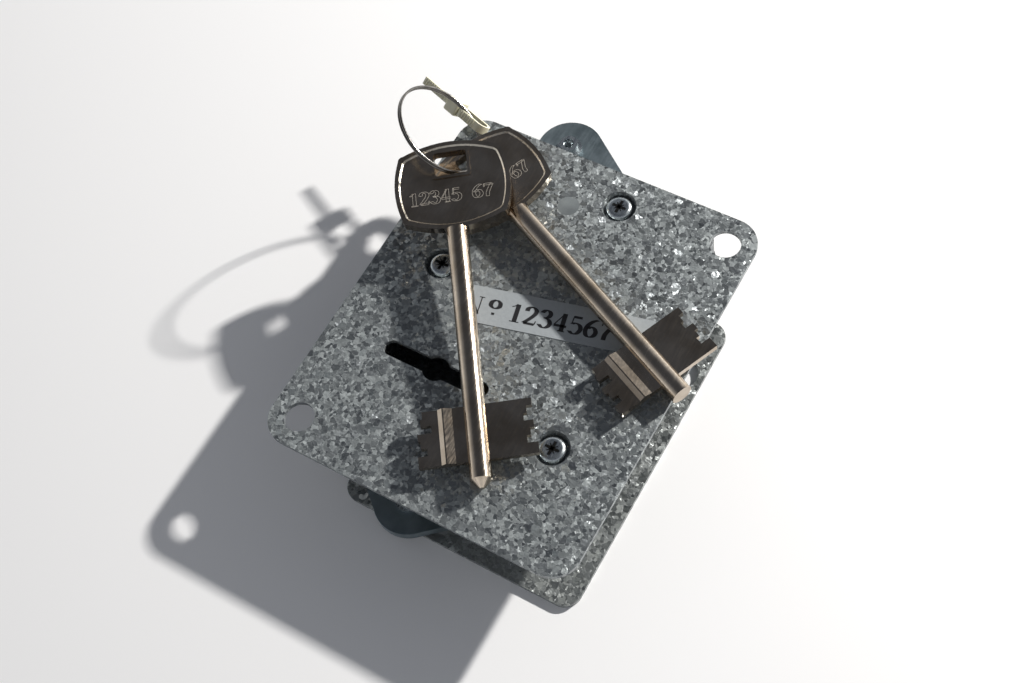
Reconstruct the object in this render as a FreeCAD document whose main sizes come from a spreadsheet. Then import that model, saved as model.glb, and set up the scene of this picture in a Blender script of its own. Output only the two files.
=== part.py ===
import FreeCAD, Part
import Sketcher
import math
import os

# Main door lock: a double-bit lever lock that throws two rods, one up and one down, lying on its back plate
# with its two matched keys on top. Millimetres. The origin is on the key's axis, on the underside of the
# back plate; +X runs along the keyhole, +Y towards the upper rod, +Z out of the cover.

doc = FreeCAD.newDocument("main_door_lock")
sheet = doc.addObject("Spreadsheet::Sheet", "sizes")

SIZES = {
    # cover plate
    "cover_width": 100.0, "cover_height": 120.5, "cover_sheet": 1.5, "cover_corner": 8.5,
    "key_from_left": 36.0, "key_from_bottom": 39.5, "fixing_hole": 9.0, "fixing_inset": 9.0,
    # keyhole, the same in cover, case and back plate
    "slot_length": 34.4, "slot_width": 5.0, "slot_bulge": 8.0,
    # back plate
    "back_sheet": 1.5, "back_left": 12.5, "back_height": 97.0, "back_corner": 5.0,
    "back_hole": 10.0, "back_hole_inset": 6.8, "back_hole_up": 38.3,
    # folded case
    "case_wall": 1.5, "pack_room": 1.1, "case_left": 22.0, "case_right": 49.5,
    "case_bottom": 23.5, "case_top": 78.0, "case_bend": 2.5, "corner_slit": 1.2,
    # screws and their posts
    "post_a_x": 21.2, "post_a_y": 70.2, "post_b_x": -16.5, "post_b_y": 30.5, "post_c_inset": 7.9,
    "post_c_y": -6.5, "post_radius": 3.5, "dish_radius": 5.2, "dish_floor_radius": 4.4, "dish_depth": 2.2,
    "screw_radius": 2.0, "screw_head_radius": 4.0, "screw_head_height": 2.1, "screw_length": 9.0,
    "screw_dome": 1.47,
    "recess_reach": 2.2, "recess_width": 1.0, "recess_depth": 1.4,
    # rivets and pins
    "rivet_x": 7.5, "rivet_y": 63.9, "rivet_radius": 2.5, "rivet_head_radius": 3.25, "rivet_neck_radius": 2.0,
    "tie_rivet_radius": 2.0, "pin_radius": 2.5, "tie_rivet_inset": 7.0,
    # clearances
    "running_gap": 0.05, "slide_gap": 0.3, "lift_gap": 0.2, "seat_gap": 0.05,
    # rod carriages, pinion and racks
    "travel": 18.0, "carriage_sheet": 3.0, "tooth_module": 1.0, "pinion_teeth": 14.0,
    "pinion_x": 5.5, "pinion_y": 44.0, "rack_addendum": 0.8, "dedendum": 1.25, "backlash": 0.14,
    "rack_reach_teeth": 2.5,
    "neck_left": 12.7, "strip_right": 25.0, "talon_width": 3.4, "talon_depth": 4.0,
    "shoulder_gap": 1.0, "lug_radius": 10.5, "upper_lug_x": -8.6, "upper_lug_y": 90.8,
    "upper_lug_right": 12.0, "upper_flank": 35.3, "lower_lug_x": 8.4, "lower_lug_y": -33.3,
    "lower_lug_left": 7.6, "lower_flank": 41.0,
    # threaded bush in each lug
    "bush_bore": 3.3, "bush_tube_radius": 2.8, "bush_tube_height": 2.5, "bush_flange_radius": 4.0,
    "bush_flange_height": 1.0, "bush_shank_radius": 3.2,
    # stump and levers
    "stump_side": 4.0, "stump_x": 20.0, "stump_y": 44.0, "lever_sheet": 1.9, "lever_gap": 0.25,
    "lever_count": 6.0, "lever_pivot_x": 31.0, "lever_pivot_y": -14.0, "hub_radius": 5.0,
    "spacer_radius": 4.0, "lever_swing": 4.0, "lever_lift": 1.4, "lever_border": 3.2,
    "belly_angle": 42.0, "foot_gap": 3.5,
    "entry_gap": 0.9, "gate_gap": 0.4, "stop_gap": 0.1,
    "spring_sheet": 0.4, "spring_width": 1.4, "spring_root": 1.7, "spring_down": 9.0,
    # key
    "shaft_radius": 3.15, "shaft_length": 76.6, "pilot_length": 5.2, "bit_radius": 16.5, "bit_sheet": 2.0,
    "head_width": 34.2, "head_height": 29.0, "head_sheet": 3.0, "head_rim": 1.3, "head_panel": 0.4,
    "head_corner": 1.6, "head_end_bulge": 3.0, "head_side_bulge": 1.6, "neck_fillet": 2.2,
    "ring_hole_width": 9.8, "ring_hole_height": 7.8, "ring_hole_inset": 3.5, "hole_rim": 0.8,
    "hole_corner": 1.0, "point_length": 2.4,
    "cut_1": 13.8, "cut_2": 15.5, "cut_3": 16.2, "cut_4": 12.2, "cut_5": 15.2, "cut_6": 14.6,
    "far_cut_1": 13.6, "far_cut_2": 14.7, "far_cut_3": 15.8, "far_cut_4": 13.2, "far_cut_5": 14.2,
    "far_cut_6": 15.8, "ridge_near": 6.2, "ridge_top": 8.7, "ridge_far": 10.2, "ridge_height": 0.9,
    "ridge_flat": 0.4,
    # where the keys, ring, tie and label lie
    "hole_1_x": -26.366, "hole_1_y": 55.484, "hole_1_rise": 7.875, "key_1_turn": -54.7,
    "hole_2_x": -23.04, "hole_2_y": 62.296, "hole_2_rise": 1.371, "key_2_turn": -24.1,
    "ring_from_hole_x": -8.854, "ring_from_hole_y": 9.166, "ring_height": 12.39, "ring_radius": 14.79,
    "ring_wire": 0.4, "ring_turn_gap": 0.96, "ring_turn": 35.5, "ring_tilt": 44.4,
    "tie_from_ring_x": -2.01, "tie_from_ring_y": 13.49, "tie_height": 3.3, "tie_turn": -19.2,
    "tie_lean": 3.2, "tie_roll": 61.2, "tie_width": 2.5, "tie_sheet": 1.0, "tie_loop": 9.0,
    "tie_rise": 4.4, "tie_tail": 13.0, "tie_block": 4.6,
    "label_x": 23.0, "label_y": 28.6, "label_turn": 13.3, "label_length": 56.0, "label_height": 11.8,
    "label_sheet": 0.15, "label_corner": 0.8,
}
for row, (name, number) in enumerate(SIZES.items(), start=1):
    cell = f"A{row}"
    sheet.set(cell, str(number))
    sheet.setAlias(cell, name)
doc.recompute()


def size(name):
    """A driving dimension, read back from the sheet."""
    return float(sheet.get(name))


# Sizes that follow from others: the case is as deep as what it holds, and one post stands by its right wall.
DERIVED = {
    "case_depth": "(lift_gap+carriage_sheet+slide_gap+(lever_sheet+lever_gap)*lever_count+pack_room)",
    "post_c_x": "(case_right-post_c_inset)",
}


def linked(text):
    """An expression with every size's name pointed at the sheet."""
    for name, sum_of in DERIVED.items():
        text = text.replace(name, sum_of)
    out, word = "", ""
    for letter in text + " ":
        if letter.isalnum() or letter == "_":
            word += letter
            continue
        out += f"sizes.{word}" if word in SIZES else word
        out += letter
        word = ""
    return out.strip()


def bind(thing, **properties):
    """Bind properties of an object to expressions over the sheet; two underscores stand for a dot."""
    for name, text in properties.items():
        thing.setExpression(name.replace("__", "."), linked(str(text)))
    return thing


def place(thing, x="0", y="0", z="0"):
    return bind(thing, Placement__Base__x=x, Placement__Base__y=y, Placement__Base__z=z)


def box(name, length, width, height, x="0", y="0", z="0"):
    thing = bind(doc.addObject("Part::Box", name), Length=length, Width=width, Height=height)
    return place(thing, x, y, z)


def cylinder(name, radius, height, x="0", y="0", z="0"):
    thing = bind(doc.addObject("Part::Cylinder", name), Radius=radius, Height=height)
    return place(thing, x, y, z)


def cone(name, radius_low, radius_high, height, x="0", y="0", z="0"):
    thing = bind(doc.addObject("Part::Cone", name), Radius1=radius_low, Radius2=radius_high, Height=height)
    return place(thing, x, y, z)


def along_x(thing):
    """Turn a cylinder or cone from Z to X about its own base."""
    thing.Placement = FreeCAD.Placement(thing.Placement.Base, FreeCAD.Rotation(FreeCAD.Vector(0, 1, 0), 90))
    return thing


def fuse(name, things):
    joined = doc.addObject("Part::MultiFuse", name)
    joined.Shapes = things
    joined.Refine = True
    return joined


def cut(name, base, tools):
    tool = tools[0] if len(tools) == 1 else fuse(name + "_tools", tools)
    result = doc.addObject("Part::Cut", name)
    result.Base, result.Tool = base, tool
    result.Refine = True
    return result


def group(name, things):
    """Separate solids of one node."""
    together = doc.addObject("Part::Compound", name)
    together.Links = things
    return together


NODES = {}
SAME_PLACE = 1e-6


def node(name, thing):
    thing.Label = name
    NODES[name] = thing
    return thing


def origin_plane(body, role):
    return next(each for each in body.Origin.OriginFeatures if each.Role == role)


def start_body(name):
    return doc.addObject("PartDesign::Body", name + "_body")


def draw(body, name, paths, height="0", role="XY_Plane"):
    """A sketch of closed paths at a height above the body's plane. Each path is a list of corners; a corner
    with a middle point before it, as (middle, end), is reached by an arc."""
    sketch = body.newObject("Sketcher::SketchObject", name)
    sketch.AttachmentSupport = [(origin_plane(body, role), "")]
    sketch.MapMode = "FlatFace"
    sketch.setExpression("AttachmentOffset.Base.z", linked(height))
    for path in paths:
        if path[0] == "circle":
            centre, radius = path[1], path[2]
            index = sketch.addGeometry(Part.Circle(vector(centre), FreeCAD.Vector(0, 0, 1), 1.0), False)
            link_circle(sketch, index, centre, radius)
            continue
        last = end_of(path[-1])
        for step in path:
            if math.dist(last, end_of(step)) > SAME_PLACE:
                sketch.addGeometry(edge_between(last, step), False)
            last = end_of(step)
    return sketch


def link_circle(sketch, index, centre, radius):
    """Hold a circle at its centre, with its radius bound to the sheet."""
    sketch.addConstraint(Sketcher.Constraint("DistanceX", -1, 1, index, 3, centre[0]))
    sketch.addConstraint(Sketcher.Constraint("DistanceY", -1, 1, index, 3, centre[1]))
    at = sketch.addConstraint(Sketcher.Constraint("Radius", index, 1.0))
    sketch.setExpression(f"Constraints[{at}]", linked(radius))


def vector(point):
    return FreeCAD.Vector(point[0], point[1], 0)


def end_of(step):
    return step[1] if isinstance(step[0], tuple) else step


def edge_between(last, step):
    if isinstance(step[0], tuple):
        return Part.Arc(vector(last), vector(step[0]), vector(step[1]))
    return Part.LineSegment(vector(last), vector(step))


def pad(body, name, sketch, length):
    feature = body.newObject("PartDesign::Pad", name)
    feature.Profile = sketch
    feature.setExpression("Length", linked(length))
    return feature


def pocket(body, name, sketch, length, reverse=False):
    feature = body.newObject("PartDesign::Pocket", name)
    feature.Profile = sketch
    feature.Reversed = reverse
    feature.setExpression("Length", linked(length))
    return feature


def polar(radius, degrees, centre=(0.0, 0.0)):
    angle = math.radians(degrees)
    return (centre[0] + radius * math.cos(angle), centre[1] + radius * math.sin(angle))


def arc_to(radius, first, last, centre=(0.0, 0.0)):
    """The step that follows an arc from one angle to another."""
    return (polar(radius, (first + last) / 2, centre), polar(radius, last, centre))


def rounded(x0, y0, x1, y1, radius):
    """A rectangle with round corners, as a path."""
    turn = radius * (1 - math.sqrt(0.5))
    return [(x1 - radius, y0), ((x1 - turn, y0 + turn), (x1, y0 + radius)),
            (x1, y1 - radius), ((x1 - turn, y1 - turn), (x1 - radius, y1)),
            (x0 + radius, y1), ((x0 + turn, y1 - turn), (x0, y1 - radius)),
            (x0, y0 + radius), ((x0 + turn, y0 + turn), (x0 + radius, y0))]


# Heights of the layers, as expressions over the sheet.
FLOOR = "back_sheet+case_wall"
UNDER_COVER = f"{FLOOR}+case_depth"
COVER_TOP = f"{UNDER_COVER}+cover_sheet"
CARRIAGE = f"{FLOOR}+lift_gap"
CARRIAGE_TOP = f"{CARRIAGE}+carriage_sheet"
DISH_FLOOR = f"{COVER_TOP}-dish_depth"
POST_TOP = f"{DISH_FLOOR}-cover_sheet"


# Places that several pieces share.
COVER_X0, COVER_Y0 = -size("key_from_left"), -size("key_from_bottom")
COVER_X1, COVER_Y1 = COVER_X0 + size("cover_width"), COVER_Y0 + size("cover_height")
POSTS = [("post_a_x", "post_a_y"), ("post_b_x", "post_b_y"), ("post_c_x", "post_c_y")]
POST_PLACES = [(size("post_a_x"), size("post_a_y")), (size("post_b_x"), size("post_b_y")),
               (size("case_right") - size("post_c_inset"), size("post_c_y"))]
CASE_INSIDE_X1 = size("case_right") - size("case_wall")
PINION = (size("pinion_x"), size("pinion_y"))
PITCH = math.pi * size("tooth_module")
PITCH_RADIUS = size("tooth_module") * size("pinion_teeth") / 2
PRESSURE_ANGLE = math.radians(20)
RACK_REACH = size("rack_reach_teeth") * PITCH
STRIP_LEFT = PINION[0] + PITCH_RADIUS + size("dedendum")
NECK_RIGHT = size("rivet_x") - size("rivet_radius") - size("slide_gap")
PIVOT = (size("lever_pivot_x"), size("lever_pivot_y"))


def keyhole():
    """The keyhole's path: a slot with round ends and a round bulge for the shaft."""
    half, reach, bulge = size("slot_width") / 2, size("slot_length") / 2, size("slot_bulge") / 2
    meet = math.sqrt(bulge ** 2 - half ** 2)
    end = reach - half
    return [(meet, -half), (end, -half), ((reach, 0.0), (end, half)), (meet, half),
            ((0.0, bulge), (-meet, half)), (-end, half), ((-reach, 0.0), (-end, -half)), (-meet, -half),
            ((0.0, -bulge), (meet, -half))]


def make_cover():
    """Cover plate with fixing holes, keyhole, three dished screw seats and a countersunk rivet hole."""
    body = start_body("cover")
    inset = size("fixing_inset")
    edge = rounded(COVER_X0, COVER_Y0, COVER_X1, COVER_Y1, size("cover_corner"))
    outline = draw(body, "cover_outline", [edge], UNDER_COVER)
    pad(body, "cover_pad", outline, "cover_sheet")
    corners = [(COVER_X0 + inset, COVER_Y0 + inset), (COVER_X0 + inset, COVER_Y1 - inset),
               (COVER_X1 - inset, COVER_Y1 - inset)]
    holes = [("circle", corner, "fixing_hole/2") for corner in corners]
    holes += [("circle", place_of, "dish_radius") for place_of in POST_PLACES]
    openings = draw(body, "cover_openings", holes + [keyhole()], COVER_TOP)
    pocket(body, "cover_cuts", openings, "cover_sheet")
    dishes = [make_dish(index, x, y) for index, (x, y) in enumerate(POSTS, start=1)]
    plate = fuse("cover_and_dishes", [body] + dishes)
    neck = cylinder("rivet_neck_hole", "rivet_neck_radius+seat_gap", "cover_sheet", "rivet_x", "rivet_y",
                    UNDER_COVER)
    sink = cone("rivet_sink", "rivet_neck_radius+seat_gap", "rivet_head_radius+seat_gap", "cover_sheet/2",
                "rivet_x", "rivet_y", f"{UNDER_COVER}+cover_sheet/2")
    node("cover_plate", cut("cover_plate", plate, [neck, sink]))


def make_dish(index, x, y):
    """A pressed dish: the sheet goes down in a cone to a flat floor with the screw's clearance hole."""
    outer = cone(f"dish_outer_{index}", "dish_floor_radius+cover_sheet/2", "dish_radius+cover_sheet/2",
                 "dish_depth", x, y, POST_TOP)
    collar = cylinder(f"dish_collar_{index}", "dish_radius+cover_sheet/2", "cover_sheet", x, y,
                      UNDER_COVER)
    inner = cone(f"dish_inner_{index}", "dish_floor_radius", "dish_radius", "dish_depth", x, y, DISH_FLOOR)
    hole = cylinder(f"dish_hole_{index}", "screw_radius+slide_gap", "cover_sheet*3", x, y,
                    f"{POST_TOP}-cover_sheet")
    return cut(f"dish_{index}", fuse(f"dish_metal_{index}", [outer, collar]), [inner, hole])


def make_case():
    """Folded sheet case: a floor and four walls with slit corners, windows for the two rods, the keyhole
    and the holes that its posts are riveted in."""
    body = start_body("case")
    x0, x1, y0, y1 = -size("case_left"), size("case_right"), -size("case_bottom"), size("case_top")
    wall = size("case_wall")
    outside = draw(body, "case_outside", [rounded(x0, y0, x1, y1, size("case_bend"))], "back_sheet")
    pad(body, "case_block", outside, "case_wall+case_depth")
    inside = draw(body, "case_inside", [rounded(x0 + wall, y0 + wall, x1 - wall, y1 - wall,
                                                size("case_bend") - wall)], UNDER_COVER)
    pocket(body, "case_hollow", inside, "case_depth")
    x_slit, y_slit = size("corner_slit"), wall + size("case_bend")
    slits = [slit_at(x, y, x_slit + wall, y_slit) for x in (x0 - wall, x1 - x_slit)
             for y in (y0 - wall, y1 + wall - y_slit)]
    slit_sketch = draw(body, "case_slits", slits, UNDER_COVER)
    pocket(body, "case_corners", slit_sketch, "case_depth-case_bend")
    pins = [("circle", place_of, "pin_radius+seat_gap") for place_of in POST_PLACES]
    pins += [("circle", PINION, "pin_radius+seat_gap"), ("circle", PIVOT, "pin_radius+seat_gap"),
             ("circle", (size("rivet_x"), size("rivet_y")), "rivet_neck_radius+seat_gap")]
    pins += [("circle", point, "tie_rivet_radius+seat_gap") for point in tie_rivet_places()]
    floor_cuts = draw(body, "case_floor_cuts", pins + [keyhole()], FLOOR)
    pocket(body, "case_holes", floor_cuts, "case_wall")
    gap = size("slide_gap")
    tall = "carriage_sheet+lift_gap+slide_gap"
    upper = box("upper_window", str(NECK_RIGHT + size("neck_left") + 2 * gap), "case_wall*2", tall,
                "-neck_left-slide_gap", "case_top-case_wall*3/2", FLOOR)
    lower = box("lower_window", str(size("strip_right") - STRIP_LEFT + 2 * gap), "case_wall*2", tall,
                str(STRIP_LEFT - gap), "-case_bottom-case_wall/2", FLOOR)
    reach = "dish_radius+cover_sheet/2+slide_gap"
    notch = box("dish_notch", "case_wall*3", f"({reach})*2", "case_depth", "-case_left-case_wall",
                f"post_b_y-({reach})", f"{POST_TOP}-slide_gap")
    node("case_tray", cut("case_tray", body, [upper, lower, notch]))


def slit_at(x, y, width, height):
    return [(x + width, y), (x + width, y + height), (x, y + height), (x, y)]


def tie_rivet_places():
    """Four rivets that hold the case on the back plate."""
    inset = size("tie_rivet_inset")
    left, right = -size("back_left") + inset, size("case_right") - inset
    low, high = -size("case_bottom") + inset, COVER_Y0 + size("back_height") - inset
    return [(left, low), (left, high), (right, low), (right, high)]


def make_back():
    """Back plate: round-cornered sheet under the case, open at the keyhole, with one fixing hole."""
    body = start_body("back")
    x0, y0 = -size("back_left"), COVER_Y0
    x1, y1 = COVER_X1, COVER_Y0 + size("back_height")
    outline = draw(body, "back_outline", [rounded(x0, y0, x1, y1, size("back_corner"))])
    pad(body, "back_pad", outline, "back_sheet")
    cuts = [("circle", (COVER_X1 - size("back_hole_inset"), size("back_hole_up")), "back_hole/2"), keyhole()]
    cuts += [("circle", point, "tie_rivet_radius+seat_gap") for point in tie_rivet_places()]
    sketch = draw(body, "back_cuts", cuts, "back_sheet")
    pocket(body, "back_holes", sketch, "back_sheet")
    node("back_plate", body)


def make_fasteners():
    """Screw posts, cover screws, the rivets between case and back plate, and the flush guide rivet."""
    posts, screws = [], []
    for index, (x, y) in enumerate(POSTS, start=1):
        shoulder = cylinder(f"post_{index}", "post_radius", f"{POST_TOP}-({FLOOR})", x, y, FLOOR)
        spigot = cylinder(f"spigot_{index}", "pin_radius", "case_wall", x, y, "back_sheet")
        bore = cylinder(f"post_bore_{index}", "screw_radius+seat_gap", "screw_length", x, y,
                        f"{POST_TOP}-screw_length+cover_sheet")
        posts.append(cut(f"screw_post_{index}", fuse(f"post_metal_{index}", [shoulder, spigot]), [bore]))
        screws.append(make_screw(index, x, y))
    node("screw_posts", group("screw_posts", posts))
    node("cover_screws", group("cover_screws", screws))
    ties = [cylinder(f"tie_rivet_{index}", "tie_rivet_radius", FLOOR, str(x), str(y))
            for index, (x, y) in enumerate(tie_rivet_places(), start=1)]
    node("back_rivets", group("back_rivets", ties))
    pin = cylinder("guide_pin", "rivet_radius", "case_depth", "rivet_x", "rivet_y", FLOOR)
    foot = cylinder("guide_foot", "rivet_neck_radius", "case_wall", "rivet_x", "rivet_y", "back_sheet")
    neck = cylinder("guide_neck", "rivet_neck_radius", "cover_sheet/2", "rivet_x", "rivet_y", UNDER_COVER)
    head = cone("guide_head", "rivet_neck_radius", "rivet_head_radius", "cover_sheet/2", "rivet_x", "rivet_y",
                f"{UNDER_COVER}+cover_sheet/2")
    node("guide_rivet", fuse("guide_rivet", [foot, pin, neck, head]))


def make_screw(index, x, y):
    """Domed head with a cross recess, on a plain shank."""
    head = cylinder(f"screw_head_{index}", "screw_head_radius", "screw_head_height", x, y, DISH_FLOOR)
    shank = cylinder(f"screw_shank_{index}", "screw_radius", "screw_length-cover_sheet", x, y,
                     f"{DISH_FLOOR}-screw_length+cover_sheet")
    metal = fuse(f"screw_metal_{index}", [shank, head])
    dome = doc.addObject("Part::Fillet", f"screw_dome_{index}")
    dome.Base = metal
    doc.recompute()
    top = max(range(len(metal.Shape.Edges)), key=lambda at: metal.Shape.Edges[at].CenterOfMass.z)
    dome.Edges = [(top + 1, size("screw_dome"), size("screw_dome"))]
    recess_z = f"{DISH_FLOOR}+screw_head_height-recess_depth"
    first = box(f"recess_a_{index}", "recess_reach*2", "recess_width", "recess_depth*2",
                f"{x}-recess_reach", f"{y}-recess_width/2", recess_z)
    second = box(f"recess_b_{index}", "recess_width", "recess_reach*2", "recess_depth*2",
                 f"{x}-recess_width/2", f"{y}-recess_reach", recess_z)
    return cut(f"cover_screw_{index}", dome, [first, second])


def rack_teeth(low, high, root, side):
    """Corners of a rack's teeth from low to high, on a root line; side is +1 for teeth towards +X."""
    half = PITCH / 4 - size("backlash") / 2
    slope = math.tan(PRESSURE_ANGLE)
    deep, tall = size("dedendum"), size("rack_addendum")
    steps = []
    first = math.ceil((low - PINION[1]) / PITCH + 0.5)
    last = math.floor((high - PINION[1]) / PITCH - 0.5)
    for index in range(first, last + 1):
        middle = PINION[1] + index * PITCH
        wide, narrow = half + deep * slope, half - tall * slope
        reach = root + side * (deep + tall)
        steps += [(root, middle - wide), (reach, middle - narrow), (reach, middle + narrow),
                  (root, middle + wide)]
    return steps


def make_upper_carriage():
    """Upper rod carriage: rack, neck through the case's top window and the rounded lug with its bush."""
    body = start_body("upper_carriage")
    lug = (size("upper_lug_x"), size("upper_lug_y"))
    radius, flank = size("lug_radius"), size("upper_flank")
    left, right = -size("neck_left"), NECK_RIGHT
    shoulder = size("case_top") + size("shoulder_gap")
    root = PINION[0] - PITCH_RADIUS - size("dedendum")
    bottom, top = PINION[1] - size("travel") - RACK_REACH, PINION[1] + RACK_REACH
    side = size("upper_lug_right")
    touch = polar(radius, 90 - flank, lug)
    drop = touch[1] - (side - touch[0]) * math.tan(math.radians(flank))
    path = [(left, bottom), (root, bottom)] + rack_teeth(bottom, top, root, 1) + [(root, top + PITCH / 2)]
    path += [(right, top + PITCH / 2), (right, shoulder), (side, shoulder), (side, drop), touch]
    path += [arc_to(radius, 90 - flank, 180, lug), (lug[0] - radius, shoulder), (left, shoulder)]
    outline = draw(body, "upper_outline", [path], CARRIAGE)
    pad(body, "upper_pad", outline, "carriage_sheet")
    hole = draw(body, "upper_hole", [("circle", lug, "bush_shank_radius+seat_gap")], CARRIAGE_TOP)
    pocket(body, "upper_bush_hole", hole, "carriage_sheet")
    node("upper_carriage", body)
    node("upper_rod_bush", make_bush("upper", "upper_lug_x", "upper_lug_y"))


def make_lower_carriage():
    """Lower rod carriage: rack, the strip beside the key with its two talon notches, the lug and its bush."""
    body = start_body("lower_carriage")
    lug = (size("lower_lug_x"), size("lower_lug_y"))
    radius, flank = size("lug_radius"), size("lower_flank")
    low, high = PINION[1] - RACK_REACH, PINION[1] + size("travel") + RACK_REACH
    right = size("strip_right")
    narrow = size("post_a_x") - size("post_radius") - size("slide_gap")
    step = size("post_a_y") - size("post_radius") - size("slide_gap") * 4
    shoulder = -size("case_bottom") - size("shoulder_gap")
    side = -size("lower_lug_left")
    touch_left, touch_right = polar(radius, 270 - flank, lug), polar(radius, 270 + flank, lug)
    slope = math.tan(math.radians(flank))
    rise_left = touch_left[1] + (touch_left[0] - side) * slope
    rise_right = touch_right[1] + (right - touch_right[0]) * slope
    half, deep = size("talon_width") / 2, STRIP_LEFT + size("talon_depth")
    path = [(right, rise_right), (right, step), (narrow, step), (narrow, high), (STRIP_LEFT, high)]
    path += rack_teeth(low, high, STRIP_LEFT, -1)[::-1]
    for middle in (size("travel"), 0.0):
        path += [(STRIP_LEFT, middle + half), (deep, middle + half), (deep, middle - half),
                 (STRIP_LEFT, middle - half)]
    path += [(STRIP_LEFT, shoulder), (side, shoulder), (side, rise_left), touch_left]
    path += [arc_to(radius, 270 - flank, 270 + flank, lug)]
    outline = draw(body, "lower_outline", [path], CARRIAGE)
    pad(body, "lower_pad", outline, "carriage_sheet")
    hole = draw(body, "lower_hole", [("circle", lug, "bush_shank_radius+seat_gap")], CARRIAGE_TOP)
    pocket(body, "lower_bush_hole", hole, "carriage_sheet")
    node("lower_carriage", body)
    node("lower_rod_bush", make_bush("lower", "lower_lug_x", "lower_lug_y"))


def make_bush(name, x, y):
    """Threaded bush riveted through a lug: shank, flange and tube with one bore."""
    shank = cylinder(f"{name}_shank", "bush_shank_radius", "carriage_sheet", x, y, CARRIAGE)
    flange = cylinder(f"{name}_flange", "bush_flange_radius", "bush_flange_height", x, y, CARRIAGE_TOP)
    tube = cylinder(f"{name}_tube", "bush_tube_radius", "bush_tube_height", x, y,
                    f"{CARRIAGE_TOP}+bush_flange_height")
    bore = cylinder(f"{name}_bore", "bush_bore/2", "carriage_sheet+bush_flange_height+bush_tube_height", x, y,
                    CARRIAGE)
    return cut(f"{name}_rod_bush", fuse(f"{name}_bush_metal", [shank, flange, tube]), [bore])


def involute(radius, base):
    """Angle from a tooth's start on the base circle to its flank at a radius, in degrees."""
    if radius <= base:
        return 0.0
    turn = math.sqrt((radius / base) ** 2 - 1)
    return math.degrees(turn - math.atan(turn))


def make_pinion():
    """Pinion between the two racks, with its post, and the spacer tube that the levers rest against."""
    body = start_body("pinion")
    count = int(size("pinion_teeth"))
    base = PITCH_RADIUS * math.cos(PRESSURE_ANGLE)
    tip, root = PITCH_RADIUS + size("tooth_module"), PITCH_RADIUS - size("dedendum")
    half = math.degrees((PITCH / 4 - size("backlash") / 2) / PITCH_RADIUS) + involute(PITCH_RADIUS, base)
    low = max(base, root)
    middle = (low + tip) / 2
    step = 360 / count
    path = []
    for index in range(count):
        centre = (index + 0.5) * step
        path += [polar(root, centre - half, PINION), polar(low, centre - half, PINION)]
        path += [(polar(middle, centre - half + involute(middle, base), PINION),
                  polar(tip, centre - half + involute(tip, base), PINION))]
        ends = half - involute(tip, base)
        path += [arc_to(tip, centre - ends, centre + ends, PINION)]
        path += [(polar(middle, centre + half - involute(middle, base), PINION),
                  polar(low, centre + half, PINION)), polar(root, centre + half, PINION)]
    outline = draw(body, "pinion_outline", [path], CARRIAGE)
    pad(body, "pinion_pad", outline, "carriage_sheet")
    hole = draw(body, "pinion_hole", [("circle", PINION, "pin_radius+running_gap")], CARRIAGE_TOP)
    pocket(body, "pinion_bore", hole, "carriage_sheet")
    node("pinion", body)
    node("pinion_post", cylinder("pinion_post", "pin_radius", "case_wall+case_depth", "pinion_x", "pinion_y",
                                 "back_sheet"))
    radius = str(lever_left() - PINION[0] - size("stop_gap"))
    tube = cylinder("spacer_tube", radius, f"{UNDER_COVER}-({CARRIAGE_TOP})-lift_gap", "pinion_x", "pinion_y",
                    f"{CARRIAGE_TOP}+lift_gap")
    bore = cylinder("spacer_bore", "pin_radius+seat_gap", "case_depth", "pinion_x", "pinion_y", CARRIAGE_TOP)
    node("pinion_spacer", cut("pinion_spacer", tube, [bore]))


def sweep_shift(y):
    """How far the stump moves sideways in a lever's own frame when the lever is lifted all the way."""
    return (y - PIVOT[1]) * math.sin(math.radians(size("lever_swing")))


def lever_left():
    half = size("stump_side") / 2
    return size("stump_x") - half - sweep_shift(size("stump_y")) - 2 * size("gate_gap") - size("lever_border")


def lever_outline(belly):
    """A lever's outer path: a belly round the key on both sides of the notch that lets the key's bit in, the
    hub at the pivot and the head round the gate."""
    left, gap = lever_left(), size("gate_gap")
    right = size("stump_x") + size("stump_side") / 2 + size("gate_gap") + size("lever_border")
    top = size("stump_y") + size("stump_side") / 2 + size("gate_gap") * 2 + size("lever_border")
    corner, fall = size("lever_border"), size("belly_angle")
    hub = size("hub_radius")
    foot = size("bit_radius") + size("foot_gap")
    turn = corner * (1 - math.sqrt(0.5))
    half, deep = size("slot_width") / 2 + gap, size("bit_radius") + size("entry_gap")
    mouth = math.degrees(math.asin(half / belly))
    path = [polar(belly, fall), arc_to(belly, fall, mouth), (deep, half), (deep, -half), polar(belly, -mouth)]
    path += [arc_to(belly, -mouth, -fall), polar(hub, 205, PIVOT), arc_to(hub, 205, 380, PIVOT)]
    path += [(right, size("bit_radius") / 3), (right, top - corner),
             ((right - turn, top - turn), (right - corner, top)), (left + corner, top),
             ((left + turn, top - turn), (left, top - corner)), (left, foot)]
    return path


def gate_outline():
    """The window that the stump runs in: a pocket at each end of its travel and the gate between them."""
    half, gap = size("stump_side") / 2, size("gate_gap")
    x, high, low = size("stump_x"), size("stump_y"), size("stump_y") - size("travel")
    right = x + half + gap
    gate, wide = x - half - gap, x - half - 2 * gap - sweep_shift(high)
    small = x - half - 2 * gap - sweep_shift(low)
    dip = (PIVOT[0] - x) * math.sin(math.radians(size("lever_swing"))) + 2 * gap
    return [(right, high + half + 2 * gap), (wide, high + half + 2 * gap), (wide, high - half - dip),
            (gate, high - half - dip), (gate, low + half + 2 * gap), (small, low + half + 2 * gap),
            (small, low - half - dip), (right, low - half - dip)]


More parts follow.
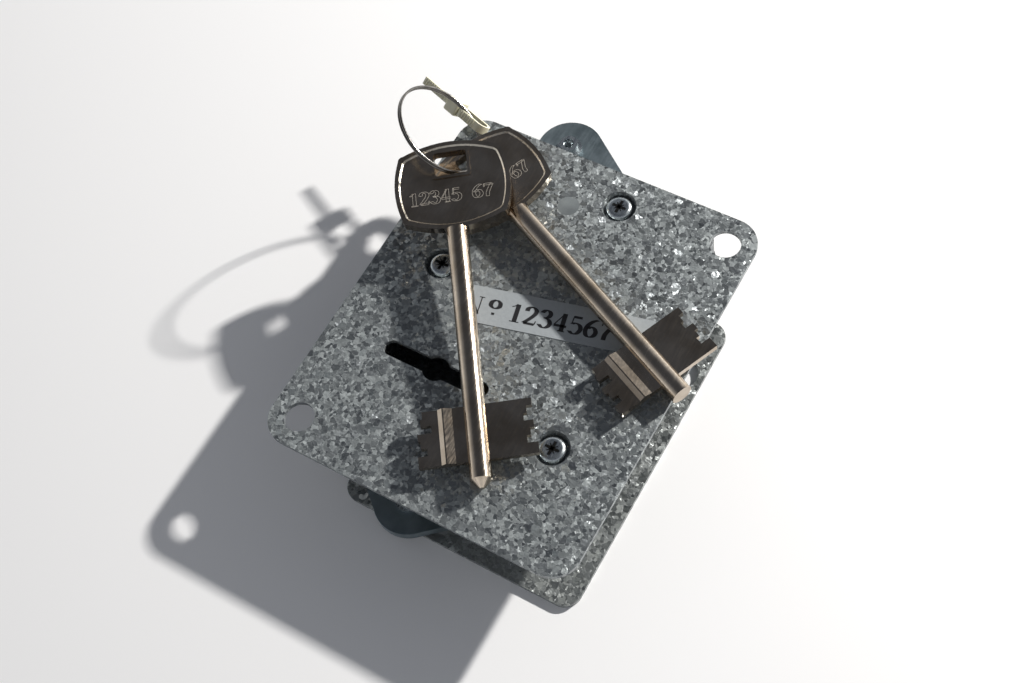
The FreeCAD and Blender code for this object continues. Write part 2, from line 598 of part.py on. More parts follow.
def make_lever(index):
    """One lever and its leaf spring, at its own height in the pack."""
    lift = f"{CARRIAGE_TOP}+slide_gap+(lever_sheet+lever_gap)*{index - 1}"
    belly = size(f"cut_{index}") - size("lever_lift")
    body = start_body(f"lever_{index}")
    outline = draw(body, f"lever_outline_{index}", [lever_outline(belly)], lift)
    pad(body, f"lever_pad_{index}", outline, "lever_sheet")
    cuts = [gate_outline(), ("circle", PIVOT, "pin_radius+running_gap"), spring_slot()]
    sketch = draw(body, f"lever_cuts_{index}", cuts, f"{lift}+lever_sheet")
    pocket(body, f"lever_holes_{index}", sketch, "lever_sheet")
    node(f"lever_{index}", body)
    spring = start_body(f"spring_{index}")
    sketch = draw(spring, f"spring_line_{index}", [spring_outline()], f"{lift}+(lever_sheet-spring_width)/2")
    pad(spring, f"spring_pad_{index}", sketch, "spring_width")
    node(f"lever_spring_{index}", spring)


def spring_start():
    right = size("stump_x") + size("stump_side") / 2 + size("gate_gap") + size("lever_border")
    return (right, size("stump_y") - size("spring_down"))


def spring_slot():
    """Saw cut in the lever's edge that holds the spring's root."""
    (x, y), half, gap = spring_start(), size("spring_sheet") / 2, size("seat_gap")
    out = x + size("lever_border")
    return [(out, y - half - gap), (out, y + half + gap), (x - size("spring_root") - gap, y + half + gap),
            (x - size("spring_root") - gap, y - half - gap)]


def spring_outline():
    """Flat leaf spring seen from above: a root in the lever, then a quarter turn out to the case's wall."""
    (x, y), half = spring_start(), size("spring_sheet") / 2
    radius = CASE_INSIDE_X1 - x - half - size("seat_gap")
    centre = (x, y - radius)
    root = x - size("spring_root")
    return [(root, y - half), (x, y - half), arc_to(radius - half, 90, 0, centre),
            polar(radius + half, 0, centre), arc_to(radius + half, 0, 90, centre), (root, y + half)]


def make_lever_pack():
    """Lever post with its spacers, the levers with their springs, and the stump on the lower carriage."""
    node("lever_post", cylinder("lever_post", "pin_radius", "case_wall+case_depth", "lever_pivot_x",
                                "lever_pivot_y", "back_sheet"))
    pack_low = f"{CARRIAGE_TOP}+slide_gap"
    pack_high = f"{pack_low}+(lever_sheet+lever_gap)*lever_count"
    spacers = []
    for name, low, high in (("low", FLOOR, pack_low), ("high", pack_high, UNDER_COVER)):
        ring = cylinder(f"spacer_{name}", "spacer_radius", f"({high})-({low})-seat_gap*2", "lever_pivot_x",
                        "lever_pivot_y", f"{low}+seat_gap")
        hole = cylinder(f"spacer_{name}_hole", "pin_radius+seat_gap", "case_depth", "lever_pivot_x",
                        "lever_pivot_y", f"{low}")
        spacers.append(cut(f"lever_spacer_{name}", ring, [hole]))
    node("lever_spacers", group("lever_spacers", spacers))
    for index in range(1, int(size("lever_count")) + 1):
        make_lever(index)
    stump = box("stump_block", "stump_side", "stump_side", f"{UNDER_COVER}-({CARRIAGE_TOP})-slide_gap*2",
                "stump_x-stump_side/2", "stump_y-stump_side/2", CARRIAGE_TOP)
    node("rod_stump", stump)


def bit_outline(side, cuts):
    """One bit from the shaft outwards, its edge stepped by the given radii from the tip to the head."""
    inner = size("shaft_radius") / 2
    tip = -size("pilot_length")
    widths = [size("carriage_sheet") + size("lever_gap")]
    widths += [size("lever_sheet") + size("lever_gap")] * int(size("lever_count"))
    path = [(tip, side * inner)]
    for width, radius in zip(widths, [size("bit_radius")] + cuts):
        path += [(tip, side * radius), (tip - width, side * radius)]
        tip -= width
    return path + [(tip, side * inner)]


def make_key(number, pointed):
    """A double-bit key in its own frame: the axis is X with the tip at 0 and the head at the far end."""
    name = f"key_{number}"
    length, radius = size("shaft_length"), size("shaft_radius")
    shaft = along_x(cylinder(f"{name}_shaft", "shaft_radius", "shaft_length", "-shaft_length"))
    levers = range(1, int(size("lever_count")) + 1)
    body = start_body(name)
    near_bit = bit_outline(-1, [size(f"cut_{index}") for index in levers])
    far_bit = bit_outline(1, [size(f"far_cut_{index}") for index in levers])
    bits = draw(body, f"{name}_bits", [near_bit, far_bit], "-bit_sheet/2")
    pad(body, f"{name}_bit_pad", bits, "bit_sheet")
    ridge_body = start_body(f"{name}_ridge")
    base, top = size("bit_sheet") / 2, size("bit_sheet") / 2 + size("ridge_height")
    crest, flat = -size("ridge_top"), size("ridge_flat") / 2
    near, far = -size("ridge_near"), -size("ridge_far")
    ridge = [(near, 0.0), (near, base), (crest + flat, top), (crest - flat, top), (far, base), (far, 0.0)]
    bit_length = "carriage_sheet+lever_gap+(lever_sheet+lever_gap)*lever_count"
    profile = draw(ridge_body, f"{name}_ridge_outline", [ridge], f"-pilot_length-({bit_length})", "YZ_Plane")
    pad(ridge_body, f"{name}_ridge_pad", profile, bit_length)
    head_body = start_body(f"{name}_head")
    head = draw(head_body, f"{name}_head_outline", [head_outline(0.0)], "-head_sheet/2")
    pad(head_body, f"{name}_head_pad", head, "head_sheet")
    neck = draw(head_body, f"{name}_neck_outline", [neck_outline()], "-head_sheet/2")
    pad(head_body, f"{name}_neck_pad", neck, "head_sheet")
    panel = head_outline(size("head_rim"))
    top = draw(head_body, f"{name}_panel_top", [panel], "head_sheet/2")
    pocket(head_body, f"{name}_panel_a", top, "head_panel")
    low = draw(head_body, f"{name}_panel_low", [panel], "-head_sheet/2")
    pocket(head_body, f"{name}_panel_b", low, "head_panel", True)
    high = -length - size("head_height") + size("ring_hole_inset")
    half = size("ring_hole_width") / 2
    rim = size("hole_rim")
    boss = rounded(high - rim, -half - rim, high + size("ring_hole_height") + rim, half + rim, rim)
    rim_sketch = draw(head_body, f"{name}_hole_rim", [boss], "-head_sheet/2")
    pad(head_body, f"{name}_hole_pad", rim_sketch, "head_sheet")
    opening = rounded(high, -half, high + size("ring_hole_height"), half, size("hole_corner"))
    hole = draw(head_body, f"{name}_ring_hole", [opening], "head_sheet/2")
    pocket(head_body, f"{name}_ring_cut", hole, "head_sheet")
    pieces = [body, ridge_body, head_body, shaft]
    if pointed:
        pieces.append(along_x(cone(f"{name}_point", "shaft_radius", "shaft_radius/4", "point_length")))
    return fuse(name, pieces)


def arc_middle(first, last, rise):
    """The middle of an arc between two points, which stands out to the right of the way along it."""
    run, climb = last[0] - first[0], last[1] - first[1]
    length = math.hypot(run, climb)
    return ((first[0] + last[0]) / 2 + climb / length * rise, (first[1] + last[1]) / 2 - run / length * rise)


def head_outline(inset):
    """The head's path: four bulging sides that meet in small round corners."""
    end, side = size("head_end_bulge"), size("head_side_bulge")
    near = -size("shaft_length") - end - inset
    far = -size("shaft_length") - size("head_height") + end + inset
    half = size("head_width") / 2 - side - inset
    corner = size("head_corner") - inset / 2
    turn = corner * (1 - math.sqrt(0.5))
    path = [(near - corner, half)]
    sides = [((near - corner, half), (far + corner, half)), ((far, half - corner), (far, -half + corner)),
             ((far + corner, -half), (near - corner, -half)), ((near, -half + corner), (near, half - corner))]
    for first, last in sides:
        rise = side if first[1] == last[1] else end
        if first != path[0]:
            x = near - turn if first[0] > (near + far) / 2 else far + turn
            y = (half - turn) * (1 if first[1] > 0 else -1)
            path.append(((x, y), first))
        path.append((arc_middle(first, last, rise), last))
    path.append(((near - turn, half - turn), path[0]))
    return path[1:]


def neck_outline():
    """The head's metal beside the shaft, hollowed on each side where it runs into the shaft."""
    reach, fillet = size("shaft_radius"), size("neck_fillet")
    near, back = -size("shaft_length") + fillet / 2, -size("shaft_length") - size("head_end_bulge")
    wide = reach + fillet
    hollow = fillet * (1 - math.sqrt(0.5))
    low = near - fillet
    bend, side = near - fillet + hollow, reach + hollow
    return [(back, wide), (low, wide), ((bend, side), (near, reach)), (near, -reach),
            ((bend, -side), (low, -wide)), (back, -wide)]


def lay_key(number, pointed):
    """Put a key on the cover: its ring hole at its place and its tip resting on the cover."""
    key = make_key(number, pointed)
    reach = size("shaft_length") + size("head_height") - size("ring_hole_inset")
    reach -= size("ring_hole_height") / 2
    rise, turn = size(f"hole_{number}_rise"), math.radians(size(f"key_{number}_turn"))
    tilt = math.asin(rise / reach)
    spin = FreeCAD.Rotation(FreeCAD.Vector(0, 0, 1), math.degrees(turn))
    lean = FreeCAD.Rotation(FreeCAD.Vector(0, 1, 0), math.degrees(tilt))
    key.Placement = FreeCAD.Placement(FreeCAD.Vector(), spin * lean)
    level = reach * math.cos(tilt)
    place(key, f"hole_{number}_x+({level * math.cos(turn)})", f"hole_{number}_y+({level * math.sin(turn)})",
          f"{COVER_TOP}+label_sheet+shaft_radius+seat_gap")
    node(f"key_{number}", key)


RING_X, RING_Y = "hole_1_x+ring_from_hole_x", "hole_1_y+ring_from_hole_y"


def make_ring():
    """Split ring: two turns of round wire lying on each other."""
    wire = size("ring_wire")
    turns = []
    for index, side in enumerate((-1, 1), start=1):
        torus = doc.addObject("Part::Torus", f"ring_turn_{index}")
        bind(torus, Radius1="ring_radius", Radius2="ring_wire")
        torus.Placement.Base = FreeCAD.Vector(0, 0, side * size("ring_turn_gap") * wire)
        turns.append(torus)
    ring = fuse("split_ring", turns)
    spin = FreeCAD.Rotation(FreeCAD.Vector(0, 0, 1), size("ring_turn"))
    lean = FreeCAD.Rotation(FreeCAD.Vector(0, 1, 0), size("ring_tilt"))
    ring.Placement = FreeCAD.Placement(FreeCAD.Vector(), spin * lean)
    place(ring, RING_X, RING_Y, f"{COVER_TOP}+ring_height")
    node("split_ring", ring)


def make_tie():
    """Nylon cable tie: a narrow loop round the ring, its block and the cut tail."""
    body = start_body("tie")
    half, sheet_half = size("tie_rise") / 2, size("tie_sheet") / 2
    loop = size("tie_loop")
    outer, inner = [], []
    for path, offset in ((outer, sheet_half), (inner, -sheet_half)):
        reach = half + offset
        path += [(0.0, -reach), (loop, -reach), ((loop + reach, 0.0), (loop, reach)), (0.0, reach),
                 ((-reach, 0.0), (0.0, -reach))]
    band = draw(body, "tie_band", [outer, inner], "-tie_width/2", "XZ_Plane")
    pad(body, "tie_pad", band, "tie_width")
    block = box("tie_block_box", "tie_block", "tie_block*0.9", "tie_block", "-tie_block-tie_rise/2",
                "-tie_block*0.45", "-tie_block/2")
    tail = box("tie_tail_box", "tie_tail", "tie_width", "tie_sheet",
               "-tie_tail-tie_block-tie_rise/2+seat_gap", "-tie_width/2", "-tie_sheet/2")
    tie = fuse("cable_tie", [body, block, tail])
    spin = FreeCAD.Rotation(FreeCAD.Vector(0, 0, 1), size("tie_turn"))
    lean = FreeCAD.Rotation(FreeCAD.Vector(0, 1, 0), -size("tie_lean"))
    roll = FreeCAD.Rotation(FreeCAD.Vector(1, 0, 0), size("tie_roll"))
    tie.Placement = FreeCAD.Placement(FreeCAD.Vector(), spin * lean * roll)
    place(tie, f"{RING_X}+tie_from_ring_x", f"{RING_Y}+tie_from_ring_y", f"{COVER_TOP}+tie_height")
    node("cable_tie", tie)


def make_label():
    """Paper number label stuck on the cover."""
    body = start_body("label")
    half_x, half_y = size("label_length") / 2, size("label_height") / 2
    outline = draw(body, "label_outline", [rounded(-half_x, -half_y, half_x, half_y, size("label_corner"))])
    pad(body, "label_pad", outline, "label_sheet")
    spin = FreeCAD.Rotation(FreeCAD.Vector(0, 0, 1), size("label_turn"))
    body.Placement = FreeCAD.Placement(FreeCAD.Vector(), spin)
    place(body, "label_x", "label_y", COVER_TOP)
    node("number_label", body)


make_cover()
make_case()
make_back()
make_fasteners()
make_upper_carriage()
make_lower_carriage()
make_pinion()
make_lever_pack()
lay_key(1, True)
lay_key(2, False)
make_ring()
make_tie()
make_label()
doc.recompute()

for thing in doc.Objects:
    bad = [word for word in ("Invalid", "Error") if word in thing.State]
    if bad:
        raise RuntimeError(f"{thing.Name} is {bad}")
for name, thing in NODES.items():
    if thing.Shape.isNull() or not thing.Shape.isValid():
        raise RuntimeError(f"{name} has no valid shape")

os.makedirs("parts", exist_ok=True)
for name, thing in NODES.items():
    thing.Shape.exportStep(f"parts/{name}.step")
    bounds = thing.Shape.BoundBox
    print(f"{name:20s} solids {len(thing.Shape.Solids)} volume {thing.Shape.Volume:9.1f} "
          f"x {bounds.XMin:.1f}..{bounds.XMax:.1f} y {bounds.YMin:.1f}..{bounds.YMax:.1f} "
          f"z {bounds.ZMin:.2f}..{bounds.ZMax:.2f}")
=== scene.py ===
import bmesh
import bpy
import math
from mathutils import Matrix, Vector


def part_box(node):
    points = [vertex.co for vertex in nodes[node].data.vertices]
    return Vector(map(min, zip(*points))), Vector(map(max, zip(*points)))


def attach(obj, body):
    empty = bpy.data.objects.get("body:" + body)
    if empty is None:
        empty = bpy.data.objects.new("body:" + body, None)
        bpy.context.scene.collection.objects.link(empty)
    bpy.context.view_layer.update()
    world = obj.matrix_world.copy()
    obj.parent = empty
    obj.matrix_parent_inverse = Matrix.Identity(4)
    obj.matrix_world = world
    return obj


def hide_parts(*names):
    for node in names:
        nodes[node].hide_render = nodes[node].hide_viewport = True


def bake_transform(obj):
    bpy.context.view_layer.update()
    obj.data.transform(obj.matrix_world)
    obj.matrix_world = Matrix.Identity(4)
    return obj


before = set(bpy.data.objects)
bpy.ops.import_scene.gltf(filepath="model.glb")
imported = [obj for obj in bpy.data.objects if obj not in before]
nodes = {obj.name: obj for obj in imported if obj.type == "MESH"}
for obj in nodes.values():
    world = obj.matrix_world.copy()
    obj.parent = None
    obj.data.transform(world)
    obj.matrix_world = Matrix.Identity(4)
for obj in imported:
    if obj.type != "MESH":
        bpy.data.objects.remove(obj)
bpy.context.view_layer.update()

MM = 0.001

# Camera, table and lamp. The lock lies on a pale table top and is seen from above its lower right corner.
# One small lamp stands low beyond the upper lug, so the keys throw long shadows towards the near left.
CAMERA_PLACE = Vector((156.95, -132.34, 395.24)) * MM
CAMERA_RIGHT = Vector((0.85815, 0.49755, -0.12662))
CAMERA_UP = Vector((-0.39125, 0.79346, 0.46620))
CAMERA_BACK = Vector((0.33242, -0.35053, 0.87557))
CAMERA_LENS, SENSOR_WIDTH = 52.84, 36.0
NEAREST, FARTHEST = 0.01, 10.0
camera = bpy.data.objects.new("camera", bpy.data.cameras.new("camera"))
camera.data.lens, camera.data.sensor_width = CAMERA_LENS, SENSOR_WIDTH
camera.data.clip_start, camera.data.clip_end = NEAREST, FARTHEST
turn = Matrix((CAMERA_RIGHT, CAMERA_UP, CAMERA_BACK)).transposed()
camera.matrix_world = Matrix.Translation(CAMERA_PLACE) @ turn.to_4x4()
bpy.context.scene.collection.objects.link(camera)
bpy.context.scene.camera = camera


def new_material(name):
    """A material with its node tree and Principled shader."""
    material = bpy.data.materials.new(name)
    material.use_nodes = True
    tree = material.node_tree
    shader = next(node for node in tree.nodes if node.type == "BSDF_PRINCIPLED")
    return material, tree, shader


def mesh_piece(name, corners, faces, material):
    """A mesh object of one material, linked to the scene."""
    mesh = bpy.data.meshes.new(name)
    mesh.from_pydata(corners, [], faces)
    piece = bpy.data.objects.new(name, mesh)
    bpy.context.scene.collection.objects.link(piece)
    mesh.materials.append(material)
    return piece


FLOOR_REACH, FLOOR_COLOUR, FLOOR_ROUGHNESS = 1.6, (0.90, 0.90, 0.91, 1.0), 0.9
floor_paint, _, floor_shader = new_material("pale_table")
floor_shader.inputs["Base Color"].default_value = FLOOR_COLOUR
floor_shader.inputs["Roughness"].default_value = FLOOR_ROUGHNESS
floor_corners = [(-FLOOR_REACH, -FLOOR_REACH, 0), (FLOOR_REACH, -FLOOR_REACH, 0),
                 (FLOOR_REACH, FLOOR_REACH, 0), (-FLOOR_REACH, FLOOR_REACH, 0)]
mesh_piece("table_top", floor_corners, [(0, 1, 2, 3)], floor_paint)

LAMP_AZIMUTH, LAMP_ELEVATION, LAMP_DISTANCE = math.radians(61.4), math.radians(27.0), 1.2
LAMP_WIDTH, LAMP_POWER, LAMP_TINT, LAMP_AIM = 0.045, 25.0, (1.0, 0.975, 0.93), Vector((0.01, 0.02, 0.02))
lamp = bpy.data.lights.new("low_far_lamp", "AREA")
lamp.size, lamp.energy, lamp.color = LAMP_WIDTH, LAMP_POWER, LAMP_TINT
holder = bpy.data.objects.new("low_far_lamp", lamp)
holder.location = LAMP_DISTANCE * Vector((math.cos(LAMP_ELEVATION) * math.cos(LAMP_AZIMUTH),
                                          math.cos(LAMP_ELEVATION) * math.sin(LAMP_AZIMUTH),
                                          math.sin(LAMP_ELEVATION)))
holder.rotation_euler = (LAMP_AIM - holder.location).to_track_quat("-Z", "Y").to_euler()
bpy.context.scene.collection.objects.link(holder)


# Room round the table: white round the horizon and dim overhead, so that bright metal shows dark faces
# and light edges, as it does out of doors in low sun.
def add(tree, kind, **settings):
    """A node of a tree, with its settings; the inputs dict gives its sockets by name."""
    node = tree.nodes.new(kind)
    for name, setting in settings.items():
        if name == "inputs":
            for socket, level in setting.items():
                node.inputs[socket].default_value = level
        else:
            setattr(node, name, setting)
    return node


def link(tree, source, output, target, socket):
    """Join two nodes of a tree."""
    tree.links.new(source.outputs[output], target.inputs[socket])


def colour_ramp(tree, source, output, stops, target):
    """Colours that follow a mask, given as (mark, colour), into the target's first colour socket."""
    ramp = add(tree, "ShaderNodeValToRGB")
    elements = ramp.color_ramp.elements
    while len(elements) < len(stops):
        elements.new(0.5)
    for element, (mark, colour) in zip(elements, stops):
        element.position, element.color = mark, (*colour, 1)
    link(tree, source, output, ramp, "Fac")
    link(tree, ramp, "Color", target, 0)


ROOM_SHADES = (
    # (sine of the height above the horizon, colour)
    (0.00, (1.0, 1.0, 1.0)), (0.12, (0.95, 0.95, 0.95)), (0.30, (0.60, 0.61, 0.62)),
    (0.50, (0.33, 0.34, 0.36)), (0.66, (0.20, 0.21, 0.235)), (0.80, (0.075, 0.082, 0.098)),
    (1.00, (0.055, 0.061, 0.075)),
)
world = bpy.data.worlds.new("room")
world.use_nodes = True
bpy.context.scene.world = world
room = world.node_tree
room_shade = next(node for node in room.nodes if node.type == "BACKGROUND")
heading = add(room, "ShaderNodeTexCoord")
height = add(room, "ShaderNodeSeparateXYZ")
link(room, heading, "Generated", height, "Vector")
colour_ramp(room, height, "Z", ROOM_SHADES, room_shade)
bpy.context.scene.view_settings.view_transform = "Standard"


# Galvanised sheet: cover plate, folded case and back plate are cut from zinc-coated steel, whose coat
# froze in crystals a millimetre or two wide. Each crystal has its own shade and its own slight tilt.
RIPPLE_GRAIN, RIPPLE_DETAIL, RIPPLE_REACH = 900.0, 1.0, 0.0005
CRYSTAL_LAYERS = (
    # (times as fine, turn in degrees, way of measuring that shapes the crystals)
    (1.0, 25.0, "MANHATTAN"), (1.9, 62.0, "EUCLIDEAN"),
)
CRYSTAL_TILT, MIDDLE_GREY = (0.4, 0.2), (0.5, 0.5, 0.5)
RIBS_PER_SLOPE, RIB_SHADE, BROKEN_SHARE = 16000.0, 0.06, 0.62
CLOUD_GRAIN, CLOUD_DETAIL, CLOUD_SHARE = 55.0, 3.0, 0.20


def feed(tree, node, socket, value):
    """Give a socket its level, or what another node puts out, as (node, output)."""
    if isinstance(value, tuple) and isinstance(value[0], bpy.types.Node):
        link(tree, *value, node, socket)
    else:
        node.inputs[socket].default_value = value


def maths(tree, operation, *values):
    """A node that works on numbers."""
    node = add(tree, "ShaderNodeMath", operation=operation)
    for socket, value in enumerate(values):
        feed(tree, node, socket, value)
    return node


def vector_maths(tree, operation, *values):
    """A node that works on places or colours."""
    node = add(tree, "ShaderNodeVectorMath", operation=operation)
    for socket, value in enumerate(values):
        feed(tree, node, socket, value)
    return node


def mixed(tree, share, first, second):
    """A node that mixes two masks by the share of the second."""
    node = add(tree, "ShaderNodeMix", data_type="FLOAT")
    for socket, value in ((0, share), (2, first), (3, second)):
        feed(tree, node, socket, value)
    return node


def rippled_place(group, start):
    """The place on the sheet, shifted a little so that the crystals' borders aren't straight."""
    ripple = add(group, "ShaderNodeTexNoise", inputs={"Scale": RIPPLE_GRAIN, "Detail": RIPPLE_DETAIL})
    link(group, start, "Vector", ripple, "Vector")
    centred = vector_maths(group, "SUBTRACT", (ripple, "Color"), MIDDLE_GREY)
    shift = vector_maths(group, "SCALE", (centred, 0))
    shift.inputs["Scale"].default_value = RIPPLE_REACH
    return vector_maths(group, "ADD", (start, "Vector"), (shift, 0))


def crystal_layer(group, start, moved, finer, turn, distance):
    """One layer of crystals: its shade with fine ribs, its slope and its random tint."""
    aim = add(group, "ShaderNodeMapping", inputs={"Rotation": (*CRYSTAL_TILT, math.radians(turn))})
    link(group, moved, 0, aim, "Vector")
    count = maths(group, "MULTIPLY", (start, "Crystals per metre"), finer)
    cells = add(group, "ShaderNodeTexVoronoi", distance=distance)
    link(group, aim, 0, cells, "Vector")
    link(group, count, 0, cells, "Scale")
    tint = add(group, "ShaderNodeSeparateColor")
    link(group, cells, "Color", tint, "Color")
    lean = vector_maths(group, "SUBTRACT", (cells, "Color"), MIDDLE_GREY)
    inside = vector_maths(group, "SUBTRACT", (aim, 0), (cells, "Position"))
    slope = vector_maths(group, "DOT_PRODUCT", (inside, 0), (lean, 0))
    # fine ribs run across each crystal along its own direction
    ribs = maths(group, "MULTIPLY", (slope, "Value"), RIBS_PER_SLOPE)
    wave = maths(group, "SINE", (ribs, 0))
    shade = maths(group, "MULTIPLY_ADD", (wave, 0), RIB_SHADE, (tint, "Red"))
    return shade, slope, tint


def make_crystal_group():
    """Crystals of a zinc coat: a shade from 0 to 1, the height that tilts each crystal, and its grain."""
    group = bpy.data.node_groups.new("zinc_crystals", "ShaderNodeTree")
    for name, kind in (("Vector", "NodeSocketVector"), ("Crystals per metre", "NodeSocketFloat")):
        group.interface.new_socket(name, in_out="INPUT", socket_type=kind)
    for name in ("Shade", "Height", "Grain"):
        group.interface.new_socket(name, in_out="OUTPUT", socket_type="NodeSocketFloat")
    start, end = add(group, "NodeGroupInput"), add(group, "NodeGroupOutput")
    moved = rippled_place(group, start)
    large, small = [crystal_layer(group, start, moved, *layer) for layer in CRYSTAL_LAYERS]
    # some large crystals stay whole, the others are broken into small ones
    whole = maths(group, "GREATER_THAN", (large[2], "Blue"), BROKEN_SHARE)
    shade = mixed(group, (whole, 0), (small[0], 0), (large[0], 0))
    slope = mixed(group, (whole, 0), (small[1], "Value"), (large[1], "Value"))
    cloud = add(group, "ShaderNodeTexNoise", inputs={"Scale": CLOUD_GRAIN, "Detail": CLOUD_DETAIL})
    link(group, start, "Vector", cloud, "Vector")
    cloudy = mixed(group, CLOUD_SHARE, (shade, 0), (cloud, "Fac"))
    link(group, cloudy, 0, end, "Shade")
    link(group, slope, 0, end, "Height")
    link(group, small[2], "Green", end, "Grain")
    return group


zinc_crystals = make_crystal_group()
ZINC_MARKS, ZINC_METALLIC, ZINC_BUMP, ZINC_BUMP_REACH = (0.12, 0.52, 0.92), 0.45, 0.75, 1.0
ZINC_SMOOTHEST, ZINC_ROUGHEST, SHEET_ROUND = 0.26, 0.48, 0.22 * MM
SHEETS = {
    # node: (crystals per metre, darkest, middle and lightest colour of the zinc)
    "cover_plate": (580.0, ((0.165, 0.18, 0.192), (0.235, 0.255, 0.262), (0.36, 0.39, 0.395))),
    "case_tray": (580.0, ((0.12, 0.13, 0.138), (0.165, 0.178, 0.186), (0.24, 0.26, 0.27))),
    "back_plate": (540.0, ((0.18, 0.192, 0.194), (0.235, 0.25, 0.25), (0.34, 0.36, 0.355))),
}


def dress(name, material):
    """Give a CAD node its material."""
    nodes[name].data.materials.clear()
    nodes[name].data.materials.append(material)


for name, (crystals, colours) in SHEETS.items():
    zinc, tree, shader = new_material("zinc_" + name)
    place = add(tree, "ShaderNodeTexCoord")
    crystal = add(tree, "ShaderNodeGroup", node_tree=zinc_crystals, inputs={"Crystals per metre": crystals})
    link(tree, place, "Object", crystal, "Vector")
    colour_ramp(tree, crystal, "Shade", tuple(zip(ZINC_MARKS, colours)), shader)
    rough = add(tree, "ShaderNodeMapRange", inputs={"To Min": ZINC_SMOOTHEST, "To Max": ZINC_ROUGHEST})
    link(tree, crystal, "Grain", rough, "Value")
    link(tree, rough, "Result", shader, "Roughness")
    bump = add(tree, "ShaderNodeBump", inputs={"Strength": ZINC_BUMP, "Distance": ZINC_BUMP_REACH})
    link(tree, crystal, "Height", bump, "Height")
    link(tree, bump, "Normal", shader, "Normal")
    shader.inputs["Metallic"].default_value = ZINC_METALLIC
    dress(name, zinc)


ROUND_TURNS, ROUND_SHARPEST = 2, 30.0


def soften_edges(thing, width, turns=ROUND_TURNS, sharpest=ROUND_SHARPEST):
    """A small round on every sharp edge, as tumbling or pressing leaves it."""
    bevel = thing.modifiers.new("edge_round", "BEVEL")
    bevel.width, bevel.segments = width, turns
    bevel.limit_method, bevel.angle_limit = "ANGLE", math.radians(sharpest)
    bevel.harden_normals = True


for name in SHEETS:
    soften_edges(nodes[name], SHEET_ROUND)


# Turned, stamped and plated metal: screws, posts, bushes, rivets, carriages, pinion, brass levers, springs,
# keys and ring. All show a faint grain with small scratches, and stains that change their colour.
STAIN_GRAIN, STAIN_DETAIL, STAIN_ROUGHNESS, STAIN_MARKS = 90.0, 5.0, 0.6, (0.32, 0.62)
SCRATCH_STRETCH, SCRATCH_TURN, SCRATCH_DETAIL = (1.0, 0.06, 1.0), (0.0, 0.0, math.radians(35.0)), 3.0
SCRATCH_LOW, SCRATCH_HIGH, SCRATCH_DEPTH = 0.3, 0.7, 0.001


def make_wear_group():
    """Wear on metal: a mask of stains and a mask of fine scratches along one direction."""
    group = bpy.data.node_groups.new("metal_wear", "ShaderNodeTree")
    group.interface.new_socket("Vector", in_out="INPUT", socket_type="NodeSocketVector")
    group.interface.new_socket("Grain per metre", in_out="INPUT", socket_type="NodeSocketFloat")
    for name in ("Stain", "Scratch"):
        group.interface.new_socket(name, in_out="OUTPUT", socket_type="NodeSocketFloat")
    start, end = add(group, "NodeGroupInput"), add(group, "NodeGroupOutput")
    stain = add(group, "ShaderNodeTexNoise",
                inputs={"Scale": STAIN_GRAIN, "Detail": STAIN_DETAIL, "Roughness": STAIN_ROUGHNESS})
    link(group, start, "Vector", stain, "Vector")
    link(group, stain, "Fac", end, "Stain")
    stretch = add(group, "ShaderNodeMapping", inputs={"Scale": SCRATCH_STRETCH, "Rotation": SCRATCH_TURN})
    link(group, start, "Vector", stretch, "Vector")
    scratch = add(group, "ShaderNodeTexNoise", inputs={"Detail": SCRATCH_DETAIL})
    link(group, stretch, "Vector", scratch, "Vector")
    link(group, start, "Grain per metre", scratch, "Scale")
    link(group, scratch, "Fac", end, "Scratch")
    return group


metal_wear = make_wear_group()
METALS = {
    # finish: (dark colour, light colour, metallic, least and most roughness, grain per metre, bump)
    "bright_zinc": ((0.46, 0.50, 0.52), (0.68, 0.73, 0.75), 1.0, 0.20, 0.36, 2500.0, 0.03),
    "dark_carriage": ((0.12, 0.155, 0.17), (0.25, 0.30, 0.33), 0.75, 0.28, 0.46, 1500.0, 0.06),
    "lever_brass": ((0.42, 0.30, 0.12), (0.70, 0.54, 0.27), 1.0, 0.24, 0.42, 2200.0, 0.03),
    "blue_spring": ((0.10, 0.11, 0.14), (0.22, 0.24, 0.29), 1.0, 0.20, 0.36, 2600.0, 0.02),
    "key_nickel": ((0.40, 0.325, 0.245), (0.58, 0.50, 0.41), 1.0, 0.12, 0.24, 2600.0, 0.02),
    # lighter nickel, a painted highlight, for the slopes inside the key heads' rims
    "rim_painted_highlight_nickel": ((0.62, 0.56, 0.46), (0.82, 0.76, 0.66), 1.0, 0.16, 0.28, 2600.0, 0.02),
    "rivet_zinc": ((0.19, 0.21, 0.22), (0.30, 0.33, 0.34), 0.45, 0.30, 0.46, 2500.0, 0.03),
    "ring_nickel": ((0.11, 0.105, 0.10), (0.24, 0.23, 0.215), 1.0, 0.12, 0.24, 2600.0, 0.02),
}
metals = {}
for name, (dark, light, metallic, smoothest, roughest, grain, depth) in METALS.items():
    metal, tree, shader = new_material(name)
    place = add(tree, "ShaderNodeTexCoord")
    worn = add(tree, "ShaderNodeGroup", node_tree=metal_wear, inputs={"Grain per metre": grain})
    link(tree, place, "Object", worn, "Vector")
    colour_ramp(tree, worn, "Stain", tuple(zip(STAIN_MARKS, (dark, light))), shader)
    rough = add(tree, "ShaderNodeMapRange", inputs={"From Min": SCRATCH_LOW, "From Max": SCRATCH_HIGH,
                                                    "To Min": smoothest, "To Max": roughest})
    link(tree, worn, "Scratch", rough, "Value")
    link(tree, rough, "Result", shader, "Roughness")
    bump = add(tree, "ShaderNodeBump", inputs={"Strength": depth, "Distance": SCRATCH_DEPTH})
    link(tree, worn, "Scratch", bump, "Height")
    link(tree, bump, "Normal", shader, "Normal")
    shader.inputs["Metallic"].default_value = metallic
    metals[name] = metal

